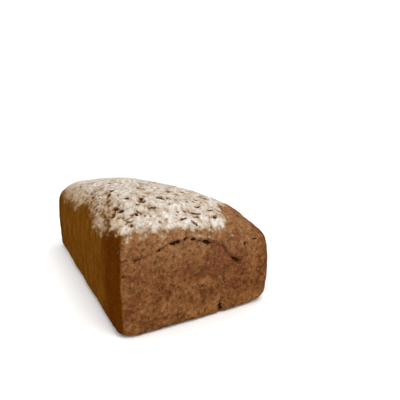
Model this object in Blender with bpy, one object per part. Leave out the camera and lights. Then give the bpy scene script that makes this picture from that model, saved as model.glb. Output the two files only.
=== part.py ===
"""A tin loaf of dark rye bread, whole and uncut, as one closed solid.

The loaf is worked from a block: a grid of faces is cut into it, every vertex is moved to the
form that the tin and the rise gave the bread, and the crust's relief is pressed in afterwards.
Metres, +Z up, +X along the loaf, the origin at the middle of its flat bottom.
"""
import math

import bmesh
import bpy
from mathutils import Vector, noise

# Driving sizes of the loaf, as the tin and the rise gave them
HALF_LENGTH = 0.125
HALF_WIDTH = 0.055
WALL_HEIGHT = 0.049       # straight walls, up to where the crust rounds over
WALL_BULGE = 0.0012       # the walls swell this much at mid height
FOOT_TAPER_ENDS = 0.0019  # the foot is this much shorter at each end
FOOT_TAPER_SIDES = 0.0005
FOOT_RADIUS = 0.005
SHOULDER_RISE = 0.021     # height of the rounding between wall and top
SHOULDER_SIDES = 0.027    # its reach inwards from the long sides
SHOULDER_ENDS = 0.033     # and from the ends
CORNER_RADIUS = 0.010     # upright corners
CORNER_SOFTENING = 0.014  # how much wider the corners grow over the shoulder
SLACK_CORNER = 0.002     # the +X +Y corner stayed slacker: its radius is this much larger
SLACK_FOOT = 0.004       # and so is the rounding of its foot
CROWN = 0.0116            # the dome in the middle of the top
LEAN = 0.006              # the loaf rose this much more along its -Y side

# Grid of faces cut into the block
GRID = 0.0052
EDGE_CUTS = (0.0015, 0.004, 0.0075)  # closer cuts beside each wall

# The tear, where the risen top broke away from the crust of the +X end, as (y, z) places
TEAR = ((-0.052, 0.0445), (-0.044, 0.0466), (-0.036, 0.0482), (-0.030, 0.0498),
        (-0.025, 0.0530), (-0.016, 0.0533), (-0.0125, 0.0547), (-0.008, 0.0540),
        (-0.002, 0.0518), (0.004, 0.0500), (0.009, 0.0490), (0.013, 0.0458),
        (0.0185, 0.0390), (0.028, 0.0328))
TEAR_DEPTH = 0.0026
TEAR_HALF_WIDTH = 0.0030
LIP_HEIGHT = 0.0011       # the torn crust curls out above the tear
LIP_REACH = 0.0085
FADE_LENGTH = 0.010       # the tear runs out over this length at both ends

# The crease between the dome and the low lobe at the far corner of the +X end, as (x, y) places
CREASE = ((0.085, 0.034), (0.100, 0.030), (0.112, 0.024), (0.122, 0.019))
CREASE_DEPTH = 0.0010
CREASE_HALF_WIDTH = 0.0050

# The lobe itself, which stayed lower than the rest of the shoulder around one place
LOBE_MIDDLE = Vector((0.116, 0.050, 0.058))
LOBE_RADIUS = 0.034
LOBE_SINK = 0.0014

# Hollows where large bubbles broke the top crust: x, y, radius, depth
HOLLOWS = (
    (0.093, -0.016, 0.0044, 0.0018),
    (0.095, -0.030, 0.0038, 0.0014),
    (0.097, -0.045, 0.0036, 0.0012),
    (0.070, -0.044, 0.0036, 0.0012),
    (0.010, -0.034, 0.0046, 0.0016),
    (0.110, 0.004, 0.0040, 0.0013),
    (0.045, 0.012, 0.0050, 0.0016),
    (-0.020, -0.006, 0.0055, 0.0014),
    (-0.062, 0.018, 0.0045, 0.0016),
    (-0.084, -0.022, 0.0050, 0.0015),
)

# Uneven surface of the whole crust: size of the lumps and how far they stand in or out
LUMPS = ((0.034, 0.0011), (0.013, 0.00045))
FOOT_FADE = 0.007         # the relief dies out towards the flat bottom

CRUST_COLOUR = "#7b4f2d"
CRUST_ROUGHNESS = 0.8


def smooth_step(t):
    """0 below 0, 1 above 1, and a smooth rise between."""
    t = min(max(t, 0.0), 1.0)
    return t * t * (3 - 2 * t)


def srgb_to_linear(hex_colour):
    """A hex colour as linear red, green, blue and alpha."""
    parts = [int(hex_colour[i:i + 2], 16) / 255 for i in (1, 3, 5)]
    linear = [c / 12.92 if c <= 0.04045 else ((c + 0.055) / 1.055) ** 2.4 for c in parts]
    return (*linear, 1.0)


def round_edge(u, v, reach_u, reach_v):
    """Bend the square corner between two faces into a quarter ellipse.

    u and v are distances in from the two faces, and the ellipse starts reach_u and reach_v away.
    """
    du = (reach_u - u) / reach_u
    dv = (reach_v - v) / reach_v
    if du <= 0 or dv <= 0:
        return u, v
    pull = max(du, dv) / math.hypot(du, dv)
    return reach_u * (1 - du * pull), reach_v * (1 - dv * pull)


def loaf_point(x, y, z):
    """Move a point of the plain block to its place on the loaf."""
    block_top = WALL_HEIGHT + SHOULDER_RISE
    from_end = HALF_LENGTH - abs(x)
    from_side = HALF_WIDTH - abs(y)
    inset = min(from_end, from_side)

    # The shoulder reaches further in at the ends than along the sides
    end_share = smooth_step(0.5 + (from_side - from_end) / (2 * CORNER_RADIUS + 0.02))
    reach = SHOULDER_SIDES + (SHOULDER_ENDS - SHOULDER_SIDES) * end_share
    ring, below_top = round_edge(inset, block_top - z, reach, SHOULDER_RISE)
    slack = smooth_step(x / HALF_LENGTH * 2.5 - 1.5) * smooth_step(y / HALF_WIDTH * 1.25 - 0.25)
    foot = FOOT_RADIUS + SLACK_FOOT * slack
    ring, height = round_edge(ring, block_top - below_top, foot, foot)

    # Draw the point in to its ring
    half_x = HALF_LENGTH - ring
    half_y = HALF_WIDTH - ring
    x *= half_x / max(HALF_LENGTH - inset, 1e-9)
    y *= half_y / max(HALF_WIDTH - inset, 1e-9)

    # Round the ring's upright corners, more and more over the shoulder
    over = smooth_step((height - WALL_HEIGHT) / SHOULDER_RISE)
    radius = CORNER_RADIUS + SLACK_CORNER * slack + CORNER_SOFTENING * over
    radius = min(radius, max(half_y, 1e-6))
    core_x = min(abs(x), half_x - radius)
    core_y = min(abs(y), half_y - radius)
    dx = (abs(x) - core_x) / radius
    dy = (abs(y) - core_y) / radius
    length = math.hypot(dx, dy)
    pull = max(dx, dy) / length if length > 1e-9 else 1.0
    x = math.copysign(core_x + radius * dx * pull, x)
    y = math.copysign(core_y + radius * dy * pull, y)

    # Taper of the foot and swell of the walls
    up = min(max(height / WALL_HEIGHT, 0.0), 1.0)
    swell = WALL_BULGE * 4 * up * (1 - up)
    x *= 1 + (swell / 2 - FOOT_TAPER_ENDS * (1 - up)) / HALF_LENGTH
    y *= 1 + (swell - FOOT_TAPER_SIDES * (1 - up)) / HALF_WIDTH

    # Dome of the crown, and the side that rose further
    lift = smooth_step(height / block_top)
    dome = max(0.0, 1 - (x / HALF_LENGTH) ** 2) * max(0.0, 1 - (y / HALF_WIDTH) ** 2)
    return Vector((x, y, height + lift * (CROWN * dome - LEAN * y / HALF_WIDTH)))


def line_distance(u, v, places):
    """Distance from (u, v) to a broken line, how far along it that is, and its whole length.

    The distance is positive on the left of the line's direction.
    """
    best, along, run = math.inf, 0.0, 0.0
    for (u0, v0), (u1, v1) in zip(places, places[1:]):
        length = math.hypot(u1 - u0, v1 - v0)
        t = ((u - u0) * (u1 - u0) + (v - v0) * (v1 - v0)) / length ** 2
        t = min(max(t, 0.0), 1.0)
        off_u = u - u0 - t * (u1 - u0)
        off_v = v - v0 - t * (v1 - v0)
        gap = math.hypot(off_u, off_v)
        if gap < abs(best):
            side = (u1 - u0) * off_v - (v1 - v0) * off_u
            best, along = math.copysign(gap, side), run + t * length
        run += length
    return best, along, run


def tear_relief(place):
    """The groove and the lip of the tear in the +X end."""
    if place.x < HALF_LENGTH * 0.8:
        return 0.0
    gap, along, run = line_distance(place.y, place.z, TEAR)
    ends = smooth_step(along / FADE_LENGTH) * smooth_step((run - along) / FADE_LENGTH)
    groove = TEAR_DEPTH * smooth_step(1 - abs(gap) / TEAR_HALF_WIDTH)
    above = gap / LIP_REACH
    lip = LIP_HEIGHT * smooth_step(above * 6) * smooth_step(1 - above) if above > 0 else 0.0
    return (lip - groove) * ends


def lobe_relief(place):
    """The sunken shoulder of the lobe at the far corner of the +X end."""
    return -LOBE_SINK * smooth_step(1 - (place - LOBE_MIDDLE).length / LOBE_RADIUS)


def crease_relief(place):
    """The crease beside the low lobe of the top."""
    if place.z < WALL_HEIGHT:
        return 0.0
    gap, along, run = line_distance(place.x, place.y, CREASE)
    ends = smooth_step(along / FADE_LENGTH) * smooth_step((run - along) / FADE_LENGTH + 0.5)
    return -CREASE_DEPTH * ends * smooth_step(1 - abs(gap) / CREASE_HALF_WIDTH)


def hollow_relief(place):
    """The broken bubbles of the top."""
    if place.z < WALL_HEIGHT:
        return 0.0
    deepest = 0.0
    for x, y, radius, depth in HOLLOWS:
        near = 1 - math.hypot(place.x - x, place.y - y) / radius
        deepest = max(deepest, depth * smooth_step(near))
    return -deepest


def lump_relief(place):
    """The uneven crust, faded out towards the bottom."""
    rise = sum(depth * noise.noise(place / size) for size, depth in LUMPS)
    return rise * smooth_step(place.z / FOOT_FADE)


def cut_places(half):
    """Where the block is cut across one of its axes, from its middle out to both faces."""
    inner = half - EDGE_CUTS[-1]
    count = round(2 * inner / GRID)
    even = [-inner + 2 * inner * i / count for i in range(count + 1)]
    close = [half - step for step in EDGE_CUTS[:-1]]
    return [-place for place in close] + even + close


def make_block():
    """A block with a grid of faces cut into it, but one wide face in the flat of its bottom."""
    bm = bmesh.new()
    bmesh.ops.create_cube(bm, size=1)
    half_height = (WALL_HEIGHT + SHOULDER_RISE) / 2
    bmesh.ops.translate(bm, vec=(0, 0, 0.5), verts=bm.verts)
    bmesh.ops.scale(bm, vec=(2 * HALF_LENGTH, 2 * HALF_WIDTH, 2 * half_height), verts=bm.verts)
    middle = Vector((0, 0, half_height))
    for axis, half in enumerate((HALF_LENGTH, HALF_WIDTH, half_height)):
        normal = Vector([float(i == axis) for i in range(3)])
        for place in cut_places(half):
            every = bm.verts[:] + bm.edges[:] + bm.faces[:]
            bmesh.ops.bisect_plane(bm, geom=every, dist=1e-7, plane_no=normal,
                                   plane_co=middle + normal * place)
    flat_x = HALF_LENGTH - EDGE_CUTS[-1]
    flat_y = HALF_WIDTH - EDGE_CUTS[-1]
    centres = {f: f.calc_center_median() for f in bm.faces if f.normal.z < -0.5}
    flat = [f for f, c in centres.items() if abs(c.x) < flat_x and abs(c.y) < flat_y]
    bmesh.ops.dissolve_faces(bm, faces=flat, use_verts=False)
    return bm


def refine(bm, wanted, cuts):
    """Cut the edges of the faces that wanted picks into shorter ones."""
    edges = {e for f in bm.faces if wanted(f.calc_center_median(), f) for e in f.edges}
    bmesh.ops.subdivide_edges(bm, edges=list(edges), cuts=cuts, use_grid_fill=True)


def beside_tear(centre, face):
    """Whether a face of the block lies where the tear will be."""
    if face.normal.x < 0.5:
        return False
    place = loaf_point(*centre)
    gap = line_distance(place.y, place.z, TEAR)[0]
    return abs(gap) < TEAR_HALF_WIDTH + GRID / 2


def at_hollow(centre, face):
    """Whether a face of the block lies where a broken bubble will be."""
    if face.normal.z < 0.5:
        return False
    place = loaf_point(*centre)
    return any(math.hypot(place.x - x, place.y - y) < radius + GRID / 2
               for x, y, radius, depth in HOLLOWS)


def make_loaf():
    """The loaf as one object, with its origin at the bottom centre of its box."""
    bm = make_block()
    refine(bm, beside_tear, 3)
    refine(bm, at_hollow, 1)
    for vert in bm.verts:
        vert.co = loaf_point(*vert.co)
    bm.normal_update()
    for vert in bm.verts:
        place = vert.co.copy()
        relief = (tear_relief(place) + lobe_relief(place) + crease_relief(place)
                  + hollow_relief(place) + lump_relief(place))
        vert.co += vert.normal * relief
    corners = [[pick(v.co[axis] for v in bm.verts) for axis in range(3)] for pick in (min, max)]
    low, high = map(Vector, corners)
    bottom_centre = Vector(((low.x + high.x) / 2, (low.y + high.y) / 2, low.z))
    bmesh.ops.translate(bm, vec=-bottom_centre, verts=bm.verts)
    bmesh.ops.triangulate(bm, faces=bm.faces)
    bmesh.ops.recalc_face_normals(bm, faces=bm.faces)
    mesh = bpy.data.meshes.new("loaf")
    bm.to_mesh(mesh)
    bm.free()
    mesh.shade_smooth()
    loaf = bpy.data.objects.new("loaf", mesh)
    bpy.context.scene.collection.objects.link(loaf)
    return loaf


def crust_material():
    """The dark, dry, matt crust of a rye loaf."""
    material = bpy.data.materials.new("crust")
    material.use_nodes = True
    shader = material.node_tree.nodes["Principled BSDF"]
    shader.inputs["Base Color"].default_value = srgb_to_linear(CRUST_COLOUR)
    shader.inputs["Roughness"].default_value = CRUST_ROUGHNESS
    shader.inputs["Metallic"].default_value = 0.0
    return material


for old in list(bpy.data.objects):
    bpy.data.objects.remove(old, do_unlink=True)
make_loaf().data.materials.append(crust_material())
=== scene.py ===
# %% [markdown]
# # A tin loaf of dark rye bread
#
# The object is a whole loaf of rye bread, baked in a long tin. Its walls are straight and brown
# where the tin held the dough. Its top is a low dome under a crackled coat of flour. At one end
# the risen top tore away from the crust below it.
#
# The lesson makes the loaf from one closed mesh. A block is drawn out of a grid, bent to the form
# of the loaf, and its crust is then worked over with pits, cracks and lumps, as a sculptor would.
# Colours come last, from a crust finish and a flour finish that share one material.

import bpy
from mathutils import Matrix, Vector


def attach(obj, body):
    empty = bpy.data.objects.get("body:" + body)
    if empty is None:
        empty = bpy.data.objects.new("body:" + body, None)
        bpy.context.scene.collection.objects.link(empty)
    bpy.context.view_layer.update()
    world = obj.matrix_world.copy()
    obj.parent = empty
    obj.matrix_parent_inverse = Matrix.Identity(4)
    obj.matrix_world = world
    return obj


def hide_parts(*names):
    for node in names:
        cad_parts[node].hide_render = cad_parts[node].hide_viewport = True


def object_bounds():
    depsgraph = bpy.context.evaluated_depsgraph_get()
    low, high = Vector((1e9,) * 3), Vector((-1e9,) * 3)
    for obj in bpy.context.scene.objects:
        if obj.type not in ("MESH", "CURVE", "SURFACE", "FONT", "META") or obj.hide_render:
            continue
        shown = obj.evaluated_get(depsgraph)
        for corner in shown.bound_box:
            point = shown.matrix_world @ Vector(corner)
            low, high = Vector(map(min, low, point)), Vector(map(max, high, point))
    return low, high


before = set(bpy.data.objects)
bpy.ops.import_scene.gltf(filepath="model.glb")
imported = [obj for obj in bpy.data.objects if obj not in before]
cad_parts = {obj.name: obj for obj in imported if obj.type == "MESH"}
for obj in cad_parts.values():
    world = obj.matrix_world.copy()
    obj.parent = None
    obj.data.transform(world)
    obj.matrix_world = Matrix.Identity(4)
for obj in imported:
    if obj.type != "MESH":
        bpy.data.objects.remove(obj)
cad_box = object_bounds()
print("box of the solids:", cad_box)

# %% Modules and units
import math
import random

import bmesh
import bpy
from mathutils import Euler, Matrix, Vector, kdtree, noise

MM = 0.001
scene = bpy.context.scene
scene.view_settings.view_transform = "Standard"
print("Blender", bpy.app.version_string)

# %% [markdown]
# ## Camera
#
# The picture was taken from close by with a wide lens, a little above the loaf's top. That is why
# the near upright corner looks so tall and the long side shrinks so fast. A camera could be
# aimed by eye, but the loaf's outline gives its place exactly, so the numbers below come from
# laying this form over that outline. A camera looks along its own -Z, with +X to the right.

# %% Camera
CAMERA_PLACE = Vector((295.7, -99.7, 103.7)) * MM
CAMERA_HEADING = math.radians(60.7)   # turned from +Y towards -X
CAMERA_DIP = math.radians(7.8)        # how far it looks down
CAMERA_ROLL = math.radians(-0.75)
LENS_MM = 30.0
SENSOR_MM = 36.0

camera = bpy.data.objects.new("camera", bpy.data.cameras.new("camera"))
camera.data.lens = LENS_MM
camera.data.sensor_width = SENSOR_MM
camera.data.clip_start = 0.01
turn = Matrix.Rotation(CAMERA_HEADING, 4, "Z") @ Matrix.Rotation(math.pi / 2 - CAMERA_DIP, 4, "X")
camera.matrix_world = (Matrix.Translation(CAMERA_PLACE) @ turn
                       @ Matrix.Rotation(CAMERA_ROLL, 4, "Z"))
scene.collection.objects.link(camera)
scene.camera = camera
print("camera at", tuple(round(c, 4) for c in CAMERA_PLACE), "lens", LENS_MM, "mm")

# %% [markdown]
# ## The form of the loaf
#
# A tin gives straight walls with rounded upright corners, and the free top rises into a dome whose
# shoulders round over further at the ends than along the sides. One function says all of that: it
# takes a point of a plain block and gives its place on the loaf. Every square edge of the block
# becomes a quarter ellipse by the same rule, so the sizes below are sizes that a baker could
# measure.

# %% Sizes of the loaf
HALF_LENGTH = 125 * MM
HALF_WIDTH = 55 * MM
WALL_HEIGHT = 49 * MM
WALL_BULGE = 1.2 * MM
FOOT_TAPER_ENDS = 1.9 * MM
FOOT_TAPER_SIDES = 0.5 * MM
FOOT_RADIUS = 5 * MM
SHOULDER_RISE = 21 * MM
SHOULDER_SIDES = 27 * MM
SHOULDER_ENDS = 33 * MM
CORNER_RADIUS = 10 * MM
CORNER_SOFTENING = 14 * MM
CORNER_BLEND = 20 * MM  # how far beside a corner the sides' shoulder turns into the end's
SLACK_CORNER = 2 * MM   # the +X +Y corner stayed slacker: its radius is this much larger
SLACK_FOOT = 4 * MM     # and so is the rounding of its foot
CROWN = 11.6 * MM
LEAN = 6 * MM
BLOCK_TOP = WALL_HEIGHT + SHOULDER_RISE
print("block:", [round(s / MM) for s in (2 * HALF_LENGTH, 2 * HALF_WIDTH, BLOCK_TOP)], "mm")


def smooth_step(t):
    """0 below 0, 1 above 1, and a smooth rise between."""
    t = min(max(t, 0.0), 1.0)
    return t * t * (3 - 2 * t)


def ease(value, start, reach):
    """0 up to start, 1 a reach further on. A negative reach goes the other way."""
    return smooth_step((value - start) / reach)


def round_edge(u, v, reach_u, reach_v):
    """Bend the square corner between two faces into a quarter ellipse."""
    du = (reach_u - u) / reach_u
    dv = (reach_v - v) / reach_v
    if du <= 0 or dv <= 0:
        return u, v
    pull = max(du, dv) / math.hypot(du, dv)
    return reach_u * (1 - du * pull), reach_v * (1 - dv * pull)


# %% [markdown]
# The function first finds how deep inside the block's outline a point lies. The shoulder and the
# foot bend that depth against the height. The point is then drawn in to its own ring, the ring's
# corners are rounded, and last come the taper of the foot, the swell of the walls and the dome.

# %% From block to loaf
def loaf_point(x, y, z):
    """Move a point of the plain block to its place on the loaf."""
    from_end = HALF_LENGTH - abs(x)
    from_side = HALF_WIDTH - abs(y)
    inset = min(from_end, from_side)
    end_share = smooth_step(0.5 + (from_side - from_end) / (2 * CORNER_RADIUS + CORNER_BLEND))
    reach = SHOULDER_SIDES + (SHOULDER_ENDS - SHOULDER_SIDES) * end_share
    ring, below_top = round_edge(inset, BLOCK_TOP - z, reach, SHOULDER_RISE)
    # slack grows from 0.6 of the half length and 0.2 of the half width out to its corner
    slack = smooth_step(x / HALF_LENGTH * 2.5 - 1.5) * smooth_step(y / HALF_WIDTH * 1.25 - 0.25)
    foot = FOOT_RADIUS + SLACK_FOOT * slack
    ring, height = round_edge(ring, BLOCK_TOP - below_top, foot, foot)

    half_x = HALF_LENGTH - ring
    half_y = HALF_WIDTH - ring
    x *= half_x / max(HALF_LENGTH - inset, 1e-9)
    y *= half_y / max(HALF_WIDTH - inset, 1e-9)

    over = smooth_step((height - WALL_HEIGHT) / SHOULDER_RISE)
    radius = CORNER_RADIUS + SLACK_CORNER * slack + CORNER_SOFTENING * over
    radius = min(radius, max(half_y, 1e-6))
    core_x = min(abs(x), half_x - radius)
    core_y = min(abs(y), half_y - radius)
    dx = (abs(x) - core_x) / radius
    dy = (abs(y) - core_y) / radius
    length = math.hypot(dx, dy)
    pull = max(dx, dy) / length if length > 1e-9 else 1.0
    x = math.copysign(core_x + radius * dx * pull, x)
    y = math.copysign(core_y + radius * dy * pull, y)

    up = min(max(height / WALL_HEIGHT, 0.0), 1.0)
    swell = WALL_BULGE * 4 * up * (1 - up)
    x *= 1 + (swell / 2 - FOOT_TAPER_ENDS * (1 - up)) / HALF_LENGTH
    y *= 1 + (swell - FOOT_TAPER_SIDES * (1 - up)) / HALF_WIDTH

    lift = smooth_step(height / BLOCK_TOP)
    dome = max(0.0, 1 - (x / HALF_LENGTH) ** 2) * max(0.0, 1 - (y / HALF_WIDTH) ** 2)
    return Vector((x, y, height + lift * (CROWN * dome - LEAN * y / HALF_WIDTH)))


print("top of the crown:", round(loaf_point(0, 0, BLOCK_TOP).z / MM, 1), "mm")

# %% [markdown]
# ## A block with a fine skin
#
# The crust's small relief needs faces of about a millimetre, all over. Subdividing a cube would
# make the same count along every axis, so its faces would be long slivers. Here the top is one
# grid, its rim is extruded downwards ring by ring into the four walls, and one face closes the
# bottom. Each ring keeps the spacing of the grid.

# %% The block
SKIN_SPACING = 0.95 * MM


def make_block():
    """A closed block whose top and walls are a fine, even grid."""
    bm = bmesh.new()
    across = [round(2 * half / SKIN_SPACING) for half in (HALF_LENGTH, HALF_WIDTH)]
    bmesh.ops.create_grid(bm, x_segments=across[0], y_segments=across[1], size=1)
    bmesh.ops.scale(bm, vec=(HALF_LENGTH, HALF_WIDTH, 1), verts=bm.verts)
    bmesh.ops.translate(bm, vec=(0, 0, BLOCK_TOP), verts=bm.verts)
    rows = round(BLOCK_TOP / SKIN_SPACING)
    rim = [e for e in bm.edges if e.is_boundary]
    for _ in range(rows):
        made = bmesh.ops.extrude_edge_only(bm, edges=rim)["geom"]
        lower = [v for v in made if isinstance(v, bmesh.types.BMVert)]
        bmesh.ops.translate(bm, vec=(0, 0, -BLOCK_TOP / rows), verts=lower)
        rim = [e for e in made if isinstance(e, bmesh.types.BMEdge)]
    foot_rings = math.ceil((FOOT_RADIUS + SLACK_FOOT) / SKIN_SPACING)
    for _ in range(foot_rings):
        made = bmesh.ops.extrude_edge_only(bm, edges=rim)["geom"]
        inner = [v for v in made if isinstance(v, bmesh.types.BMVert)]
        reach = [max(abs(v.co[axis]) for v in inner) for axis in (0, 1)]
        shrink = [(r - SKIN_SPACING) / r for r in reach]
        bmesh.ops.scale(bm, vec=(shrink[0], shrink[1], 1), verts=inner)
        rim = [e for e in made if isinstance(e, bmesh.types.BMEdge)]
    bmesh.ops.holes_fill(bm, edges=rim, sides=0)
    bmesh.ops.recalc_face_normals(bm, faces=bm.faces)
    return bm


print("rows of faces down a wall:", round(BLOCK_TOP / SKIN_SPACING))

# %% [markdown]
# ## A flat pattern of the skin
#
# A picture painted for the loaf needs a flat pattern of it, without a thousand small islands.
# The block gives one for nothing: its top lies in the middle, the four walls fold out from it as
# they were extruded, and the bottom lies beside them. It has to be made before the block is bent,
# while every face still looks along one axis.

# %% Unfold the block, then bend it
PATTERN_SIDE = 2 * (HALF_LENGTH + BLOCK_TOP) + 8 * MM
PATTERN_GAP = 4 * MM


def unfold(point, normal):
    """Where a point of the block lies in the flat pattern, in metres."""
    down = BLOCK_TOP - point.z
    if abs(normal.x) > 0.5:
        return math.copysign(HALF_LENGTH + down, normal.x), point.y
    if abs(normal.y) > 0.5:
        return point.x, math.copysign(HALF_WIDTH + down, normal.y)
    if normal.z < 0:
        return point.x, -2 * HALF_WIDTH - BLOCK_TOP - PATTERN_GAP - point.y
    return point.x, point.y


skin = make_block()
pattern = skin.loops.layers.uv.new("OFBake")
pattern_low = -3 * HALF_WIDTH - BLOCK_TOP - 2 * PATTERN_GAP
for face in skin.faces:
    for loop in face.loops:
        u, v = unfold(loop.vert.co, face.normal)
        loop[pattern].uv = (u / PATTERN_SIDE + 0.5, (v - pattern_low) / PATTERN_SIDE)
for vert in skin.verts:
    vert.co = loaf_point(*vert.co)
skin.normal_update()
skin.verts.ensure_lookup_table()
print("skin:", len(skin.verts), "points,", len(skin.faces), "faces,",
      round(skin.calc_volume() * 1e6), "ml")

# %% [markdown]
# ## Working the crust
#
# A baked crust is never smooth. It has slow lumps from the dough, a fine roughness, burst
# bubbles, and cracks where it dried before the crumb stopped swelling. Displacing the mesh with
# one noise pattern would look the same everywhere. Here each kind of mark is pressed in by
# itself, the way a thumb or a knife would do it: a search tree finds the points near a place, and
# their depth is noted. The points only move at the end, so marks never add up to spikes.

# %% Notes about every point of the skin
count = len(skin.verts)
place = [vert.co.copy() for vert in skin.verts]
outward = [vert.normal.copy() for vert in skin.verts]
swell = [0.0] * count   # how far the crust stands out
dent = [0.0] * count    # how deep a mark goes
dark = [0.0] * count    # 1 inside a hole or crack, where the darkness is the crumb's own and painted shade
bare = [0.0] * count    # 1 where flour has gone
lip_highlight = [0.0] * count  # painted highlight, laid in as flour, where light catches the lip of the tear
MARK_FLOOR = 1.3        # over 1, so a mark has a level floor as well as a slope
WIPE_FLOOR = 1.1        # and so with each value that is called a floor
CRACK_STEP = 0.5 * MM
CRACK_TIP, CRACK_BODY = 0.55, 0.45   # a crack's width at its tips, and what its middle adds

tree = kdtree.KDTree(count)
for index, point in enumerate(place):
    tree.insert(point, index)
tree.balance()


def nearness(point, centre, radius, drawn=1.0):
    """1 at a centre and 0 at its radius, which may be drawn out along the loaf's length."""
    offset = point - centre
    offset.x /= drawn
    return 1 - offset.length / radius


def press(centre, radius, depth, shade=1.0, drawn=1.0):
    """Push a mark into the crust: round, or drawn out along the loaf's length."""
    for point, index, _ in tree.find_range(centre, radius * drawn):
        share = smooth_step(MARK_FLOOR * nearness(point, centre, radius, drawn))
        dent[index] = max(dent[index], depth * share)
        dark[index] = max(dark[index], shade * share)


def wipe(centre, radius, amount, drawn):
    """Brush the flour off a patch, round or drawn out like a mark."""
    for point, index, _ in tree.find_range(centre, radius * drawn):
        share = smooth_step(WIPE_FLOOR * nearness(point, centre, radius, drawn))
        bare[index] = max(bare[index], amount * share)


def crack(start, heading, length, radius, depth, draw, wander, shade):
    """Press a wandering crack along the crust, thin at both ends."""
    steps = max(3, round(length / CRACK_STEP))
    spot = start.copy()
    for number in range(steps):
        nearest, index, _ = tree.find(spot)
        up = outward[index]
        spot -= up * (spot - nearest).dot(up)
        heading = Matrix.Rotation(draw.gauss(0, wander), 3, up) @ heading
        heading = (heading - up * heading.dot(up)).normalized()
        taper = math.sqrt(math.sin(math.pi * (number + 0.5) / steps))
        press(spot, radius * (CRACK_TIP + CRACK_BODY * taper), depth * taper, shade * taper)
        spot += heading * CRACK_STEP


def bumps(point, sizes):
    """Add up noises, each with a size and a height in millimetres."""
    return sum(height * MM * noise.noise(point / (size * MM)) for size, height in sizes)


print("search tree over", count, "points")

# %% [markdown]
# ### The torn end
#
# In the oven the top sets first, and the dough still pushes up from below. On this loaf the crust
# gave way along a low arch across the end: the upper crust curls out a little as a lip, and below
# it dark slots open into the crumb. The arch is one broken line, and the slots are short
# stretches of it.

# %% The tear
TEAR = [Vector((125, y, z)) * MM for y, z in (
    (-52, 44.5), (-44, 46.6), (-36, 48.2), (-30, 49.8), (-25, 53.0), (-16, 53.3), (-12.5, 54.7),
    (-8, 54.0), (-2, 51.8), (4, 50.0), (9, 49.0), (13, 45.8), (18.5, 39.0), (28, 32.8))]
TEAR_DEPTH = 0.45 * MM
TEAR_HALF_WIDTH = 2.8 * MM
TEAR_RAGGED = ((4, 1.1),)   # size and height of its wavering, in millimetres
TORN_END = 0.8 * HALF_LENGTH
LIP_HEIGHT = 1.0 * MM
LIP_REACH = 8.5 * MM
LIP_STEEP = 8   # the lip's lower edge rises within one part in this many of its reach
FADE_LENGTH = 10 * MM
# The lip's painted highlight, where light catches it, is laid in as flour: strength, height, half
# width, reach
LIP_HIGHLIGHT = 0.42
LIP_HIGHLIGHT_HEIGHT = 2.2 * MM
LIP_HIGHLIGHT_HALF_WIDTH = 1.6 * MM
LIP_HIGHLIGHT_REACH = 13 * MM
LIP_HIGHLIGHT_FLOOR = 1.6
SLOT_STEP = 0.4     # a slot is pressed in steps of this, in millimetres
SLOT_WAVER = 0.35
LEAST_PRESS = 0.8   # a narrower press would slip between the skin's points
# Open slots along the tear: from y, to y, half height, depth, in millimetres, and darkness, which is
# painted shade
SLOTS = (
    (-51.5, -49.5, 0.8, 0.5, 0.5),
    (-45.5, -43, 0.9, 0.7, 0.65),
    (-40.3, -39, 0.8, 0.6, 0.6),
    (-36, -34.5, 0.9, 0.8, 0.65),
    (-31.8, -28.6, 1.2, 1.2, 0.9),
    (-26.6, -24.6, 0.9, 1.0, 0.6),
    (-23.8, -15.2, 1.85, 2.4, 1.0),
    (-13.2, -12.0, 1.7, 2.2, 1.0),
    (-9.0, -6.6, 1.6, 2.2, 1.0),
    (-4.8, -3.0, 1.1, 1.5, 0.8),
    (-2.0, 4.8, 1.75, 2.4, 1.0),
    (9, 11.5, 0.9, 0.8, 0.4),
    (14.5, 18, 1.0, 0.9, 0.6),
    (18.0, 27.5, 1.5, 1.5, 1.0),
)

# %% Measuring along the tear
def line_distance(u, v, line):
    """Distance to a broken line, how far along it that is, and its whole length.

    The distance is positive to the left of the line's own direction.
    """
    best, along, run = math.inf, 0.0, 0.0
    for (u0, v0), (u1, v1) in zip(line, line[1:]):
        length = math.hypot(u1 - u0, v1 - v0)
        t = ((u - u0) * (u1 - u0) + (v - v0) * (v1 - v0)) / length ** 2
        t = min(max(t, 0.0), 1.0)
        off_u = u - u0 - t * (u1 - u0)
        off_v = v - v0 - t * (v1 - v0)
        gap = math.hypot(off_u, off_v)
        if gap < abs(best):
            side = (u1 - u0) * off_v - (v1 - v0) * off_u
            best, along = math.copysign(gap, side), run + t * length
        run += length
    return best, along, run


def tear_height(y):
    """Height of the tear's line at one place across the end."""
    for low, high in zip(TEAR, TEAR[1:]):
        if y <= high.y:
            break
    return low.z + (high.z - low.z) * (y - low.y) / (high.y - low.y)


# %% Open the tear
tear_line = [(point.y, point.z) for point in TEAR]
for index, point in enumerate(place):
    if point.x > TORN_END:
        wavering = point.z + bumps(point, TEAR_RAGGED)
        gap, along, run = line_distance(point.y, wavering, tear_line)
        ends = smooth_step(along / FADE_LENGTH) * smooth_step((run - along) / FADE_LENGTH)
        groove = TEAR_DEPTH * smooth_step(1 - abs(gap) / TEAR_HALF_WIDTH)
        above = max(gap, 0.0) / LIP_REACH
        lip = LIP_HEIGHT * smooth_step(above * LIP_STEEP) * smooth_step(1 - above)
        swell[index] += (lip - groove) * ends
        # A painted highlight along the lip, where the light catches it, put in as flour
        on_lip = smooth_step(1 - abs(gap - LIP_HIGHLIGHT_HEIGHT) / LIP_HIGHLIGHT_HALF_WIDTH)
        in_middle = smooth_step(LIP_HIGHLIGHT_FLOOR * (1 - abs(point.y) / LIP_HIGHLIGHT_REACH))
        lip_highlight[index] = LIP_HIGHLIGHT * on_lip * in_middle

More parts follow.
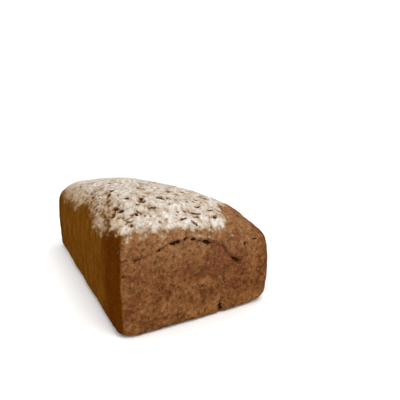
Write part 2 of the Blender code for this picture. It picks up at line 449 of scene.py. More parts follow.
draw = random.Random(3)
for y_from, y_to, half_height, depth, shade in SLOTS:
    steps = round((y_to - y_from) / SLOT_STEP)
    for number in range(steps + 1):
        share = number / steps
        y = (y_from + (y_to - y_from) * share) * MM
        taper = math.sqrt(math.sin(math.pi * (share * 0.9 + 0.05)))
        height = tear_height(y) + draw.uniform(-SLOT_WAVER, SLOT_WAVER) * MM
        middle, _, _ = tree.find(Vector((HALF_LENGTH, y, height)))
        press(middle, max(half_height * taper, LEAST_PRESS) * MM, depth * taper * MM, shade * taper)
print("tear:", len(SLOTS), "slots, deepest", round(max(dent) / MM, 1), "mm")

# %% [markdown]
# ### Lumps, lobe and burst bubbles
#
# The far corner of the torn end stayed low as a lobe of its own, with a shallow crease between it
# and the dome. Larger bubbles broke through the top and left hollows. Over everything go the slow
# lumps of the dough, which fade out at the foot, where the tin was flat.

# %% Lumps, lobe and hollows
CREASE = ((85 * MM, 34 * MM), (100 * MM, 30 * MM), (112 * MM, 24 * MM), (122 * MM, 19 * MM))
CREASE_DEPTH = 1.0 * MM
CREASE_HALF_WIDTH = 5 * MM
LOBE_MIDDLE = Vector((116, 50, 58)) * MM
LOBE_RADIUS = 34 * MM
LOBE_SINK = 1.4 * MM
# Hollows of the top, in millimetres: x, y, radius, depth
HOLLOWS = (
    (93, -16, 4.4, 1.8), (95, -30, 3.8, 1.4), (97, -45, 3.6, 1.2), (70, -44, 3.6, 1.2),
    (10, -34, 4.6, 1.6), (110, 4, 4.0, 1.3), (45, 12, 5.0, 1.6), (-20, -6, 5.5, 1.4),
    (-62, 18, 4.5, 1.6), (-84, -22, 5.0, 1.5),
)
# Lumps: size and how far they stand in or out, in millimetres
LUMPS = ((34, 1.1), (13, 0.45), (6, 0.32), (3, 0.22))
FOOT_FADE = 7 * MM

for index, point in enumerate(place):
    swell[index] += bumps(point, LUMPS) * smooth_step(point.z / FOOT_FADE)
    swell[index] -= LOBE_SINK * smooth_step(nearness(point, LOBE_MIDDLE, LOBE_RADIUS))
    if point.z > WALL_HEIGHT:
        if point.x > CREASE[0][0] - CREASE_HALF_WIDTH:
            gap, along, run = line_distance(point.x, point.y, CREASE)
            ends = smooth_step(along / FADE_LENGTH) * smooth_step((run - along) / FADE_LENGTH + 0.5)
            swell[index] -= CREASE_DEPTH * ends * smooth_step(1 - abs(gap) / CREASE_HALF_WIDTH)
        for x, y, radius, depth in HOLLOWS:
            near = 1 - math.hypot(point.x / MM - x, point.y / MM - y) / radius
            if near > 0:
                swell[index] -= depth * MM * smooth_step(near)
print("swell from", round(min(swell) / MM, 2), "to", round(max(swell) / MM, 2), "mm")

# %% [markdown]
# ### The coat of flour
#
# The baker dusted the dough before it rose. The flour lies on the dome and over the shoulders,
# and it ends in a ragged line on the walls. It runs lower in a few places, thins out along the
# shoulder of the long sides, where having less of it is partly painted shade, and has mostly
# rubbed off the lobe, where a grey veil is left. The note for each point says how thickly it lies
# there, from 0 to 1. The line is measured against a height that leaves out the loaf's lean, so
# that one number serves all four sides.

# %% The flour
# The flour's patterns are drawn out this much, in a direction turned this far from the length
FLOUR_DRAWN = 3.0
FLOUR_TURN = Euler((0, math.radians(-14), math.radians(-15)))
FLOUR_FADE_ENDS = 7 * MM
FLOUR_FADE_SIDES = 15 * MM
FLOUR_FADE_MORE = 10 * MM   # the sides' flour thins out more slowly still towards the far end
FLOUR_THICKNESS = 0.45 * MM
FULL_FLOUR = 0.85
# Less flour on the long sides' shoulders: thinner flour, and partly painted shade
SHOULDER_FLOUR_AND_SHADE = 0.55
STAIN_FLOUR = 0.34
RAGGED_LINE = ((15, 1.8), (5, 1.2))   # sizes and heights, in millimetres
# Where something comes in: from this place, over this length. A negative one goes towards -X
OFF_THE_MIDDLE = (34 * MM, 17 * MM)
NEAR_THE_ENDS = (96 * MM, 20 * MM)
TOWARDS_FAR_END = (20 * MM, -70 * MM)
# The line's height, in millimetres, across the torn end and along the near side
LINE_ACROSS = ((-55, 55.0), (-47, 55.2), (-43, 56.0), (-39, 57.8), (-35, 57.0), (-28, 57.0),
               (-22, 57.6), (-15, 58.4), (-8, 58.5), (2, 58.2), (12, 58.2), (16, 58.4), (20, 60.5),
               (24, 63.0), (40, 60.0), (55, 55.0))
LINE_ALONG = ((-125, 57.5), (-105, 57.0), (-72, 55.5), (-36, 54.5), (5, 56.0), (18, 59.0),
              (28, 60.5), (40, 59.5), (52, 56.5), (74, 51.5), (86, 50.0), (98, 52.0), (105, 56.0),
              (113, 56.5), (119, 55.2), (125, 55.0))
STAIN_FLOOR = 1.5
STAIN_DRAWN = 1.6   # the stains are this much longer along the loaf than across it
# Stains of damp flour on the crust below the line: x, y, z, radius, in millimetres
FLOUR_STAINS = (
    (122, -39, 60.5, 6.0), (121, -47, 58, 4.5), (90, -54, 55.5, 5.0), (72, -55, 57.5, 4.5),
    (123, -28, 58.5, 4.5), (106, -53, 58, 4.0), (123, 20, 53, 3.5), (112, 24, 64, 4.5),
    (-7, -54.5, 58.5, 4.5), (-70, -55, 58, 5.0),
)
RUBBED_LOBE = Vector((119, 50, 56)) * MM
RUBBED_REACH = 31 * MM
RUBBED_EDGE = 5 * MM
RUBBED_RAGGED = ((7, 4),)
RUBBED_SHARE = 0.80   # the rest stays on the lobe as a grey veil

# %% The line where the flour ends
def between(table, where):
    """Read a height off a table of places, in metres."""
    for (u0, v0), (u1, v1) in zip(table, table[1:]):
        if where / MM <= u1:
            break
    share = min(max((where / MM - u0) / (u1 - u0), 0.0), 1.0)
    return (v0 + (v1 - v0) * smooth_step(share)) * MM


def flour_line(point, up):
    """Height of the ragged line where the flour ends.

    The back end and the far side take the same lines, turned half round.
    """
    across = between(LINE_ACROSS, math.copysign(point.y, point.x * point.y))
    along = between(LINE_ALONG, math.copysign(point.x, -point.x * point.y))
    end_share = smooth_step((abs(up.x) - abs(up.y)) / 0.5 + 0.5)
    drawn = FLOUR_TURN.to_matrix().inverted() @ point
    drawn.x /= FLOUR_DRAWN
    return along + (across - along) * end_share + bumps(drawn, RAGGED_LINE)


# %% Dust the loaf
flour = []
for index, (point, up) in enumerate(zip(place, outward)):
    upright = point.z + LEAN * point.y / HALF_WIDTH
    on_side = ease(abs(point.y), *OFF_THE_MIDDLE) * (1 - ease(abs(point.x), *NEAR_THE_ENDS))
    long_fade = max(on_side, smooth_step(-up.x))
    fade = FLOUR_FADE_ENDS + (FLOUR_FADE_SIDES - FLOUR_FADE_ENDS) * long_fade
    fade += FLOUR_FADE_MORE * on_side * ease(point.x, *TOWARDS_FAR_END)
    wealth = FULL_FLOUR + (SHOULDER_FLOUR_AND_SHADE - FULL_FLOUR) * on_side
    cover = wealth * smooth_step((upright - flour_line(point, up)) / fade + 0.5)
    inside = RUBBED_REACH - (point - RUBBED_LOBE).length + bumps(point, RUBBED_RAGGED)
    rubbed = smooth_step(inside / RUBBED_EDGE + 0.5)
    cover *= 1 - RUBBED_SHARE * rubbed
    for x, y, z, radius in FLOUR_STAINS:
        near = nearness(point, Vector((x, y, z)) * MM, radius * MM, STAIN_DRAWN)
        cover = max(cover, STAIN_FLOUR * smooth_step(near * STAIN_FLOOR))
    # The lip's painted highlight joins the flour note here
    flour.append(max(cover, lip_highlight[index]))
print("floured share of the points:", round(sum(flour) / count, 2))

# %% [markdown]
# ### Pits and cracks
#
# The photograph shows the largest ones well enough to give each its place. The rest follow what
# the loaf does everywhere: on the dome many small pits and short cracks where the floured skin
# dried and split, on the walls only pinholes. Their places are drawn from the skin's own points
# with a fixed seed, so that every run makes the same loaf.

# %% Marks seen in the photograph
DOME_FROM = 60        # a mark above this height, in millimetres, lies on the dome
MARKS_DRAWN = 2.0     # such marks are this much longer along the loaf than across it
DOME_WIDENING = 1.1   # and the pits among them have this much wider brims
DARK_PER_MM = 1.95    # how much painted shade a crack gets for each millimetre that it goes in
CRACK_WANDER = 0.12   # about how far a seen crack turns at each step, in radians
SEEN_WIPE = 0.36      # the share of the flour that has come off a seen patch
# Pits: x, y, z, radius, depth, in millimetres
SEEN_PITS = (
    (93.1, -15.7, 77, 3.1, 2.8), (90.8, -27.9, 77.3, 1.7, 1.6), (95.7, -29.7, 76, 2.3, 2.2),
    (98.4, -44.6, 71.3, 2.3, 2.2), (92, -45.5, 71.8, 1.9, 1.7), (10.7, -33.9, 81.5, 2.3, 1.5),
    (69.9, -44.4, 73.7, 2.1, 1.8), (59.2, -42, 75.8, 2.0, 1.6), (85.8, -36.4, 76.8, 1.9, 1.5),
    (49.4, -37.2, 79, 1.9, 1.4), (68.8, -31.8, 79.5, 1.6, 1.2), (74.6, -1.8, 79, 2.2, 1.5),
    (94.9, -11, 76.5, 1.5, 1.2), (109.2, -37.9, 69.8, 1.4, 1.3), (98.3, -49.2, 68.1, 1.5, 1.2),
    (116, 12.8, 64.4, 1.3, 1.2), (112, -7.2, 69, 1.1, 0.9), (117, -43.6, 64.1, 1.1, 0.8),
    (124.7, 30.2, 45.4, 1.9, 2.0), (122, -50.9, 37.7, 1.3, 1.4), (124.6, -18.1, 25, 1.3, 1.3),
    (124, 12.6, 0.8, 3.0, 2.4), (124.4, 12.4, 3.6, 2.6, 2.2), (124.7, 11.8, 6.6, 2.2, 1.8),
    (124.8, 11.2, 9.4, 1.6, 1.2), (124.6, -30.4, 26.5, 1.1, 0.9), (124.7, 28.4, 25.5, 1.1, 1.0),
    (124.6, -11, 14, 1.2, 1.0), (124.5, -29.9, 22, 1.1, 0.9), (124.6, -2.1, 23.1, 1.1, 0.9),
)
# Cracks: start, heading, length, radius, depth, in millimetres
SEEN_CRACKS = (
    ((113.5, -6, 67.9), (0, 1, -0.13), 11, 0.9, 0.8),
    ((117.9, -6, 64), (0.6, 0.6, -0.8), 6, 0.9, 0.6),
    ((117.4, -13.4, 65.3), (0.05, 1, -0.12), 6, 0.9, 0.7),
    ((107, -30, 72), (0.3, 1, 0), 6, 1.0, 0.7),
    ((108, 2, 71.5), (0.2, 1, 0), 5, 0.9, 0.6), ((112, 10, 68), (-0.2, 1, 0), 5, 0.9, 0.6),
    ((98, 6, 75), (0.6, 1, 0), 6, 0.9, 0.7), ((92, 16, 74), (0.5, 1, 0), 6, 0.9, 0.7),
    ((124, 36, 47.5), (0, 1, 0), 6, 1.0, 1.2),
    ((125, 20, 36), (0, 1, -1), 10, 0.9, 0.8), ((125, 12, 30), (0, 0.3, -1), 12, 0.8, 0.5),
    ((124.5, -47, 46.6), (0, 1, 0.1), 7, 0.85, 0.4),
    ((125, -40.5, 48.5), (0, -0.7, -1), 6, 0.85, 0.35),
    ((121, -51.7, 45.6), (0.5, 1, 0.1), 6, 0.85, 0.4),
    ((124.5, -46.5, 30.4), (0, 1, -0.5), 4, 0.9, 0.4),
)
# Patches where flour has come off: x, y, z, radius, in millimetres
SEEN_PATCHES = (
    (104, -29, 73.2, 4.2), (108.6, -29.6, 71.3, 3.2), (111, -26, 70.6, 2.6),
    (115.6, -25.6, 67.8, 2.8), (120.2, -25.4, 63.3, 3.4), (118.5, -23, 65, 2.6),
    (80.4, -27.9, 78.9, 3.0), (81, -50.5, 67, 3.6), (91, -51.8, 65, 3.6), (101, -52.5, 63.5, 4.0),
    (112, -52.5, 61.4, 4.0), (98, -49, 68.1, 2.8), (105.3, -47.6, 67.8, 2.4),
    (54, -49.6, 68.8, 3.8), (117, -43.6, 64.1, 2.2), (119, -35, 64.7, 2.2),
    (116.4, 17.6, 62.8, 3.0), (66, -51, 67, 3.4), (40, -50, 69, 3.0),
)

draw = random.Random(11)
for x, y, z, radius, depth in SEEN_PITS:
    middle, _, _ = tree.find(Vector((x, y, z)) * MM)
    widening, drawn = (DOME_WIDENING, MARKS_DRAWN) if z > DOME_FROM else (1.0, 1.0)
    press(middle, widening * radius * MM, depth * MM, 1.0, drawn)
for start, heading, length, radius, depth in SEEN_CRACKS:
    crack(Vector(start) * MM, Vector(heading), length * MM, radius * MM, depth * MM, draw,
          CRACK_WANDER, min(1.0, DARK_PER_MM * depth))
for x, y, z, radius in SEEN_PATCHES:
    wipe(Vector((x, y, z)) * MM, radius * MM, SEEN_WIPE, MARKS_DRAWN)
print("seen marks:", len(SEEN_PITS), "pits,", len(SEEN_CRACKS), "cracks")

# %% Marks all over
TOP_PITS, TOP_CRACKS, TOP_PATCHES = 300, 125, 90
WALL_PITS, WALL_CRACKS, FOOT_CHIPS = 700, 150, 180
CALM_FROM = 20 * MM       # from here to the far end the dome has fewer marks
CALM_SHARE = 0.45
FINE_TORN_END = 60 * MM   # beyond this the dome's random pits stay small and its cracks faint
LEAST_PIT, PIT_SPREAD, PIT_SPREAD_FINE = 0.9, 1.1, 0.7   # radii in millimetres
FAINT_CRACK = 0.7
RANDOM_WANDER = 0.4
FLOURED, UNFLOURED = 0.5, 0.3   # the dome's marks need more flour than this, the walls' less
FOOT_BAND = (0.6 * MM, 4 * MM)
WALL_FROM = 3 * MM

draw = random.Random(29)
top_points = [i for i in range(count) if flour[i] > FLOURED
              and (place[i].x > CALM_FROM or draw.random() < CALM_SHARE)]
wall_points = [i for i in range(count) if flour[i] < UNFLOURED and WALL_FROM < place[i].z]
foot_points = [i for i in range(count) if FOOT_BAND[0] < place[i].z < FOOT_BAND[1]]


def along_crust(index):
    """A random heading along the crust at one point."""
    up = outward[index]
    loose = Vector((draw.gauss(0, 1), draw.gauss(0, 1), draw.gauss(0, 1)))
    return (loose - up * loose.dot(up)).normalized()


# Sizes, depths and darkness, which is painted shade, are drawn afresh for each mark, and a pit's
# depth and shade go by its radius
for _ in range(TOP_PITS):
    index = draw.choice(top_points)
    spread = PIT_SPREAD_FINE if place[index].x > FINE_TORN_END else PIT_SPREAD
    radius = LEAST_PIT + draw.random() ** 2.5 * spread
    press(place[index], radius * MM, radius * 0.7 * MM, 0.35 + 0.25 * radius, MARKS_DRAWN)
for _ in range(TOP_CRACKS):
    index = draw.choice(top_points)
    faint = FAINT_CRACK if place[index].x > FINE_TORN_END else 1.0
    crack(place[index], along_crust(index), draw.uniform(3, 11) * MM, draw.uniform(0.85, 1.1) * MM,
          draw.uniform(0.4, 0.9) * MM, draw, RANDOM_WANDER, faint * draw.uniform(0.3, 0.8))
for _ in range(TOP_PATCHES):
    wipe(place[draw.choice(top_points)], draw.uniform(2, 5) * MM, draw.uniform(0.1, 0.4),
         MARKS_DRAWN)
for _ in range(FOOT_CHIPS):
    index = draw.choice(foot_points)
    radius = draw.uniform(1.2, 2.6)
    press(place[index], radius * MM, radius * 0.45 * MM, draw.uniform(0.2, 0.6))
for _ in range(WALL_PITS):
    radius = 0.8 + draw.random() ** 3 * 0.7
    press(place[draw.choice(wall_points)], radius * MM, radius * 0.6 * MM,
          draw.uniform(0.25, 0.8))
for _ in range(WALL_CRACKS):
    index = draw.choice(wall_points)
    crack(place[index], along_crust(index), draw.uniform(2, 7) * MM, 0.85 * MM,
          draw.uniform(0.25, 0.6) * MM, draw, RANDOM_WANDER, draw.uniform(0.2, 0.5))
print("marked points:", sum(d > 0.2 for d in dark), "of", count)

# %% [markdown]
# ### Moving the points
#
# Now every note is read once. A point goes out by its swell and its flour, and in by its dent.
# The deep marks keep no flour. Then the loaf is set back on the frame: its box is laid over the
# box of the solids, so that nothing stands proud of them and the foot is exactly level.

# %% Shape the skin
CRUMBLE_LEVEL, CRUMBLE_SIZE = 0.6, 2.6 * MM   # how full the flour lies, and its crumbs' size
BARE_DARKNESS = 1.2   # over 1, so a mark loses its flour a little before it is fully dark

for index, vert in enumerate(skin.verts):
    cover = flour[index] * (1 - bare[index]) * (1 - smooth_step(dark[index] * BARE_DARKNESS))
    crumble = CRUMBLE_LEVEL + noise.noise(place[index] / CRUMBLE_SIZE)
    relief = swell[index] - dent[index] + FLOUR_THICKNESS * cover * crumble
    vert.co += outward[index] * relief
    flour[index] = cover


def box_of(points):
    """Lowest and highest corner of a list of points."""
    return [Vector([pick(p[axis] for p in points) for axis in range(3)]) for pick in (min, max)]


low, high = box_of([vert.co for vert in skin.verts])
room_low, room_high = cad_box
stretch = [min(1.0, (room_high[axis] - room_low[axis]) / (high[axis] - low[axis]))
           for axis in range(3)]
foot = Vector(((low.x + high.x) / 2, (low.y + high.y) / 2, low.z))
room_foot = Vector(((room_low.x + room_high.x) / 2, (room_low.y + room_high.y) / 2, room_low.z))
bmesh.ops.translate(skin, vec=-foot, verts=skin.verts)
bmesh.ops.scale(skin, vec=stretch, verts=skin.verts)
bmesh.ops.translate(skin, vec=room_foot, verts=skin.verts)
print("moved by", [round(c / MM, 2) for c in room_foot - foot], "mm, drawn in to",
      [round(s, 4) for s in stretch])

# %% Notes for the finish
TURN_WIDTH = 0.22   # how fast the end's colour gives way to the side's, around an upright corner
TURN_SHIFT = 0.9    # over 0.5, so the sides' burnt tone and painted shade reach round the corner onto the ends
SIDE_BAKED_AND_SHADE = 0.7    # the rest, up to 1, is the extra darkening beside the corners, partly painted shade
WALL_REACH, WALL_FADE = 12 * MM, 8 * MM   # that tone begins this near the wall, and comes in so fast
SIDE_CALM = 0.6     # how calm the flour is on the shoulders of the sides
# Where each comes in: from this place, over this length. A negative one goes towards -X
BESIDE_CORNERS = (84 * MM, 26 * MM)
CALM_ALONG = (CALM_FROM, -90 * MM)
BACK_END = (-122 * MM, 28 * MM)
FAR_SIDE = (8 * MM, 30 * MM)
SHOULDERS = (44 * MM, 9 * MM)
BEHIND_TORN_END = (70 * MM, -30 * MM)
WINE_FLOOR = 1.6
# Wine-brown places on the torn end, mostly along the right arm of the tear: x, y, z, radius, in
# millimetres
WINE_PLACES = (
    (125, 7, 48, 5), (125, 12, 44, 6), (125, 18, 39, 7), (124, 24, 34, 6), (124, 26, 28, 6),
    (124, 24, 52, 5), (125, 8, 33, 9), (125, 2, 40, 6), (125, 20, 20, 7), (124, -14, 36, 6),
)

NOTES = ("flour", "dark", "baked_and_shade", "wine", "calm")
layers = {name: skin.verts.layers.float.new(name) for name in NOTES}
for index, vert in enumerate(skin.verts):
    point, up = place[index], outward[index]
    outwards = max(math.hypot(up.x, up.y), 1e-6)
    facing = smooth_step((abs(up.y) - abs(up.x)) / outwards / TURN_WIDTH + TURN_SHIFT)
    at_wall = smooth_step((abs(point.y) - HALF_WIDTH + WALL_REACH) / WALL_FADE)
    corner = ease(abs(point.x), *BESIDE_CORNERS)
    wine = max(nearness(point, Vector((x, y, z)) * MM, radius * MM)
               for x, y, z, radius in WINE_PLACES)
    vert[layers["flour"]] = flour[index]
    vert[layers["dark"]] = dark[index]
    # The sides' note: darker tin-baked crust and partly painted shade of the sides turned from the
    # light
    vert[layers["baked_and_shade"]] = facing * at_wall * (SIDE_BAKED_AND_SHADE + (1 - SIDE_BAKED_AND_SHADE) * corner)
    vert[layers["wine"]] = smooth_step(WINE_FLOOR * wine)
    # The far end's flour is calm, but not where the dome turns down to the back and far side
    far_calm = ease(point.x, *CALM_ALONG) * ease(point.x, *BACK_END)
    far_calm *= 1 - ease(point.y, *FAR_SIDE)
    side_calm = SIDE_CALM * ease(abs(point.y), *SHOULDERS) * ease(point.x, *BEHIND_TORN_END)
    vert[layers["calm"]] = max(far_calm, side_calm)
print("notes for the finish:", ", ".join(NOTES))

# %% The loaf as one piece
mesh = bpy.data.meshes.new("rye_loaf")
skin.to_mesh(mesh)
skin.free()
mesh.shade_smooth()
rye_loaf = bpy.data.objects.new("rye_loaf", mesh)
scene.collection.objects.link(rye_loaf)
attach(rye_loaf, "root")
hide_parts("loaf")
mesh.calc_loop_triangles()
print("rye_loaf:", len(mesh.loop_triangles), "triangles")

# %% [markdown]
# ## Finishes
#
# Both finishes are dry and matt, so their looks come from colour and fine relief, and hardly
# from gloss. A node graph gives patterns that are finer than the mesh can hold. One small
# function adds a node, sets its properties and fills its sockets, and everything else is made
# with it.

# %% A helper for nodes
def linear(hex_colour):
    """An sRGB hex colour as linear red, green, blue and alpha."""
    parts = [int(hex_colour[i:i + 2], 16) / 255 for i in (1, 3, 5)]
    return (*[c / 12.92 if c <= 0.04045 else ((c + 0.055) / 1.055) ** 2.4 for c in parts], 1.0)


# The loaf's one material is a baked crust under flour: dry, rough and dull all over
finish = bpy.data.materials.new("floured_rye_crust")
finish.use_nodes = True
graph = finish.node_tree
shader = graph.nodes["Principled BSDF"]


def add(kind, sockets, stops=(), take=0, **settings):
    """Add a node to the graph, set it up, and give back one of its outputs.

    sockets fills inputs, by name or number, with values, hex colours or other nodes' outputs.
    stops places the colours of a ramp.
    """
    made = graph.nodes.new("ShaderNode" + kind)
    for name, value in settings.items():
        setattr(made, name, value)
    for key, value in sockets.items():
        if isinstance(value, bpy.types.NodeSocket):
            graph.links.new(value, made.inputs[key])
        else:
            made.inputs[key].default_value = linear(value) if isinstance(value, str) else value
    for _ in stops[2:]:
        made.color_ramp.elements.new(0.5)
    for number, (where, colour) in enumerate(stops):
        made.color_ramp.elements[number].position = where
        made.color_ramp.elements[number].color = linear(colour)
    return made.outputs[take]


# A Mix node that is set to colours keeps them on these inputs, and the mixture on output 2
UNDER, OVER = 6, 7
COLOURS = {"data_type": "RGBA", "take": 2}
SMOOTH = {"interpolation_type": "SMOOTHSTEP"}   # a Map Range node without kinks at its ends

# %% [markdown]
# ### Rye crust
#
# Rye crust browns from sugars and proteins in a thin dry skin. On the end it is a warm mid brown
# with a bran grain of one to three millimetres, darker flecks and a few wine-brown fields, paler
# higher up, and golden along the foot as painted light that grows towards +Y. Along the sides,
# where the metal of the tin was hottest, it baked darker and smoother, towards a burnt ochre with
# faint upright streaks, and darkest beside the corners. That darker tone of the sides is partly
# painted shade, for the sides face away from the light.

# %% Browning of the ends
spot = add("TexCoord", {}, take="Object")
flour_note, dark_note, baked_and_shade_note, wine_note, calm_note = [
    add("Attribute", {}, take="Fac", attribute_name=name) for name in NOTES]
sideways, upwards = [add("SeparateXYZ", {"Vector": spot}, take=a) for a in "YZ"]

# Slow mottling of the browning, patches a little under a centimetre across
mottle = add("TexNoise", {"Vector": spot, "Scale": 1 / (8 * MM), "Detail": 5.0, "Roughness": 0.6})
brown = add("ValToRGB", {"Fac": mottle}, take="Color", stops=(
    (0.30, "#6a4226"), (0.50, "#8a5934"), (0.70, "#a3734a")))
# Higher up the ends the brown turns paler, most of all in the middle
level = add("MapRange", {"Value": upwards, "From Min": 28 * MM, "From Max": 58 * MM, "To Max": 0.5},
            **SMOOTH)
aside = add("Math", {0: sideways}, operation="ABSOLUTE")
aside = add("MapRange", {"Value": aside, "From Min": 30 * MM, "From Max": 50 * MM, "To Min": 1.0,
                         "To Max": 0.3})
level = add("Math", {0: level, 1: aside}, operation="MULTIPLY")
# Painted light along the foot of the ends: a golden tone growing towards +Y, where the light falls,
# in patches of the mottling
across = add("MapRange", {"Value": sideways, "From Min": -30 * MM, "From Max": 20 * MM,
                          "To Min": 0.15})
foot_light = add("MapRange", {"Value": upwards, "From Min": 16 * MM, "From Max": 3 * MM}, **SMOOTH)
foot_light = add("Math", {0: foot_light, 1: across}, operation="MULTIPLY")
light_patches = add("MapRange", {"Value": mottle, "From Min": 0.38, "From Max": 0.58, "To Min": 0.2,
                           "To Max": 0.9})
foot_light = add("Math", {0: foot_light, 1: light_patches}, operation="MULTIPLY")
# Wine-brown fields, where the note says and where a slow noise adds a few more
field = add("TexNoise", {"Vector": spot, "Scale": 1 / (20 * MM), "Detail": 3.0})
field = add("MapRange", {"Value": field, "From Min": 0.54, "From Max": 0.72, "To Max": 0.35},
            **SMOOTH)
field = add("Math", {0: wine_note, 1: 0.7, 2: field}, operation="MULTIPLY_ADD", use_clamp=True)
for share, tone in ((level, "#b88a60"), (foot_light, "#b27c48"), (field, "#7d4730")):
    brown = add("Mix", {"Factor": share, UNDER: brown, OVER: tone}, **COLOURS)

# %% The tin-baked sides and their painted shade
# Their streaks stand upright, because the pattern is drawn out along Z
drawn = add("Mapping", {"Vector": spot, "Scale": (1.0, 1.0, 0.3)})
streak = add("TexNoise", {"Vector": drawn, "Scale": 1 / (7 * MM), "Detail": 5.0, "Roughness": 0.6})
side_and_shade_colour = add("ValToRGB", {"Fac": streak}, take="Color", stops=(
    (0.30, "#60380a"), (0.50, "#754710"), (0.72, "#8b5b20")))
# Darker still beside the corners: partly painted shade
corner_darkening = add("MapRange", {"Value": baked_and_shade_note, "From Min": SIDE_BAKED_AND_SHADE, "From Max": 1.0,
                          "To Max": 0.85})
side_and_shade_colour = add("Mix", {"Factor": corner_darkening, UNDER: side_and_shade_colour, OVER: "#572804"}, **COLOURS)
side_tone_and_shade = add("MapRange", {"Value": baked_and_shade_note, "From Max": SIDE_BAKED_AND_SHADE})
brown = add("Mix", {"Factor": side_tone_and_shade, UNDER: brown, OVER: side_and_shade_colour}, **COLOURS)
print("brown crust:", len(graph.nodes), "nodes")

# %% Grain and flecks
# Grain of the bran: one pattern of two to three millimetres, and a finer one inside it
grain = add("TexNoise", {"Vector": spot, "Scale": 1 / (2.6 * MM), "Detail": 3.0, "Roughness": 0.65})
fine = add("TexNoise", {"Vector": spot, "Scale": 1 / (1.1 * MM), "Detail": 3.0, "Roughness": 0.7})
smoother = add("MapRange", {"Value": side_tone_and_shade, "To Min": 1.0, "To Max": 0.6})
for pattern, darkest in ((grain, "#9c948d"), (fine, "#c2bcb6")):
    shade = add("ValToRGB", {"Fac": pattern}, take="Color", stops=(
        (0.30, darkest), (0.48, "#e2dfdc"), (0.66, "#ffffff")))
    brown = add("Mix", {"Factor": smoother, UNDER: brown, OVER: shade}, **COLOURS,
                blend_type="MULTIPLY")


def scattered(where, size, core, rim, strength, none_below, all_above):
    """Round spots in some cells of a pattern: a draw for each cell says whether it has one."""
    near = add("TexVoronoi", {"Vector": where, "Scale": 1 / size}, take="Distance")
    near = add("MapRange", {"Value": near, "From Min": core, "From Max": rim, "To Min": strength,
                            "To Max": 0.0})
    lot = add("TexVoronoi", {"Vector": where, "Scale": 1 / size}, take="Color")
    lot = add("MapRange", {"Value": lot, "From Min": none_below, "From Max": all_above})
    return add("Math", {0: near, 1: lot}, operation="MULTIPLY")


# Dark flecks, and on the ends tan ones where bran caught on the crust
fleck = scattered(spot, 2.8 * MM, 0.10, 0.30, 0.85, 0.52, 0.66)
moved = add("Mapping", {"Vector": spot, "Location": (0.31, 0.17, 0.53)})
tan_fleck = add("TexVoronoi", {"Vector": moved, "Scale": 1 / (3.2 * MM)}, take="Distance")
tan_fleck = add("MapRange", {"Value": tan_fleck, "From Min": 0.08, "From Max": 0.26, "To Min": 0.4,
                             "To Max": 0.0})
rough_end = add("Math", {0: 1.0, 1: side_tone_and_shade}, operation="SUBTRACT")
tan_fleck = add("Math", {0: tan_fleck, 1: rough_end}, operation="MULTIPLY")
for share, tone in ((fleck, "#4d2d14"), (tan_fleck, "#ab7d50")):
    brown = add("Mix", {"Factor": share, UNDER: brown, OVER: tone}, **COLOURS)

# %% [markdown]
# ### Rye flour
#
# The flour is a warm white powder that took up water, dried and crazed. Where it lies thick it is
# cream with paler crumbs, and as it thins it turns to a dull tan before the brown crust shows. So
# one ramp over its thickness gives its colour. The thickness is the note for the place, broken
# into curds, clots and drifts, and cut by crazing and pinholes. All of these are drawn out along
# the loaf and run a little aslant, as the dough's skin was stretched when it was shaped. Towards
# the far end the flour lies calmer, with less of each.

# %% Curds, clots and drifts
# First the drawn-out directions, then the same bent a little, so that no cell has straight edges
along = add("Mapping", {"Vector": spot, "Rotation": FLOUR_TURN, "Scale": (FLOUR_DRAWN, 1.0, 1.0)},
            vector_type="TEXTURE")
bend = add("TexNoise", {"Vector": along, "Scale": 1 / (3.5 * MM), "Detail": 3.0}, take="Color")
bend = add("VectorMath", {0: bend, 1: (0.5, 0.5, 0.5)}, operation="SUBTRACT")
bend = add("VectorMath", {0: bend, "Scale": 2.6 * MM}, operation="SCALE")
bent = add("VectorMath", {0: along, 1: bend}, operation="ADD")

# Curds of powder: the smooth cells are thick in their middles and thin between them
curds = add("TexVoronoi", {"Vector": bent, "Scale": 1 / (2.7 * MM), "Smoothness": 0.5},
            feature="SMOOTH_F1", take="Distance")
curds = add("MapRange", {"Value": curds, "From Min": 0.12, "From Max": 0.62, "To Min": 0.10,
                         "To Max": -0.15}, clamp=False)
clots = add("TexNoise", {"Vector": bent, "Scale": 1 / (5.5 * MM), "Detail": 6.0, "Roughness": 0.64})
clots = add("MapRange", {"Value": clots, "From Min": 0.25, "From Max": 0.75, "To Min": -0.16,
                         "To Max": 0.16}, clamp=False)
clots = add("Math", {0: clots, 1: curds}, operation="ADD")
# They form only where there is flour, and less towards the calm far end
lively = add("Math", {0: calm_note, 1: -0.55, 2: 1.0}, operation="MULTIPLY_ADD")
present = add("MapRange", {"Value": flour_note, "From Max": 0.25, "To Min": 0.2})
lively = add("Math", {0: lively, 1: present}, operation="MULTIPLY")
thick = add("Math", {0: clots, 1: lively, 2: flour_note}, operation="MULTIPLY_ADD")
# Wide drifts, which lie all over and are fainter towards the far end
drifts = add("TexNoise", {"Vector": along, "Scale": 1 / (13 * MM), "Detail": 4.0,
                          "Roughness": 0.55})
drifts = add("MapRange", {"Value": drifts, "From Min": 0.3, "From Max": 0.7, "To Min": -0.12,
                          "To Max": 0.12}, clamp=False)
drifting = add("Math", {0: calm_note, 1: -0.3, 2: 1.0}, operation="MULTIPLY_ADD")
drifting = add("Math", {0: drifting, 1: present}, operation="MULTIPLY")
thick = add("Math", {0: drifts, 1: drifting, 2: thick}, operation="MULTIPLY_ADD")

